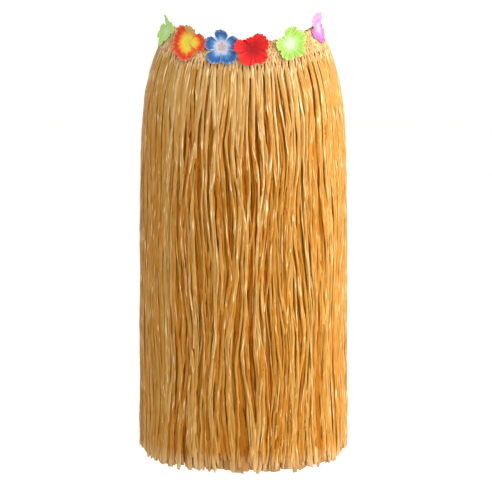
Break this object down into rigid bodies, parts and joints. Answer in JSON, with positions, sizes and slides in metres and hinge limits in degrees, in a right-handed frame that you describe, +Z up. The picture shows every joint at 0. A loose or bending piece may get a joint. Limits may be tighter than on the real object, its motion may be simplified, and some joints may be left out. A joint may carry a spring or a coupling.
{
  "type": "grass skirt",
  "caption": "Long raffia grass skirt, worn shape with no wearer: plaited header on an elastic waist, cloth flowers along the front, strips hanging to a ragged hem.",
  "frame": {"origin": "middle of the waist ring, level with the band's top edge at the two sides", "axes": "+Z up along the body, -Y towards the front where the flowers are, +X towards the viewer's right"},
  "size_m": [0.3955, 0.2902, 0.8271],
  "materials": {
    "elastic": "matt woven elastic webbing",
    "raffia": "crinkled glossy polypropylene raffia, straw yellow",
    "raffia_under": "the same raffia, seen deeper and darker",
    "flower_green_cloth": "matt printed polyester, heat embossed with veins",
    "flower_orange_cloth": "matt printed polyester, heat embossed with veins",
    "flower_blue_cloth": "matt printed polyester, heat embossed with veins",
    "flower_red_cloth": "matt printed polyester, heat embossed with veins",
    "flower_lime_cloth": "matt printed polyester, heat embossed with veins",
    "flower_pink_cloth": "matt printed polyester, heat embossed with veins"
  },
  "bodies": {
    "root": {"waistband": "elastic", "under_grass_01": "raffia_under", "under_grass_02": "raffia_under", "under_grass_03": "raffia_under", "under_grass_04": "raffia_under", "under_grass_05": "raffia_under", "under_grass_06": "raffia_under", "under_grass_07": "raffia_under", "under_grass_08": "raffia_under", "under_grass_09": "raffia_under", "under_grass_10": "raffia_under", "under_grass_11": "raffia_under", "under_grass_12": "raffia_under", "under_grass_13": "raffia_under", "under_grass_14": "raffia_under", "under_grass_15": "raffia_under", "under_grass_16": "raffia_under", "outer_grass_left": "raffia", "outer_grass_front": "raffia", "outer_grass_right": "raffia", "outer_grass_back": "raffia", "flower_green": "flower_green_cloth", "flower_orange": "flower_orange_cloth", "flower_blue": "flower_blue_cloth", "flower_red": "flower_red_cloth", "flower_lime": "flower_lime_cloth", "flower_pink": "flower_pink_cloth"}
  },
  "joints": []
}
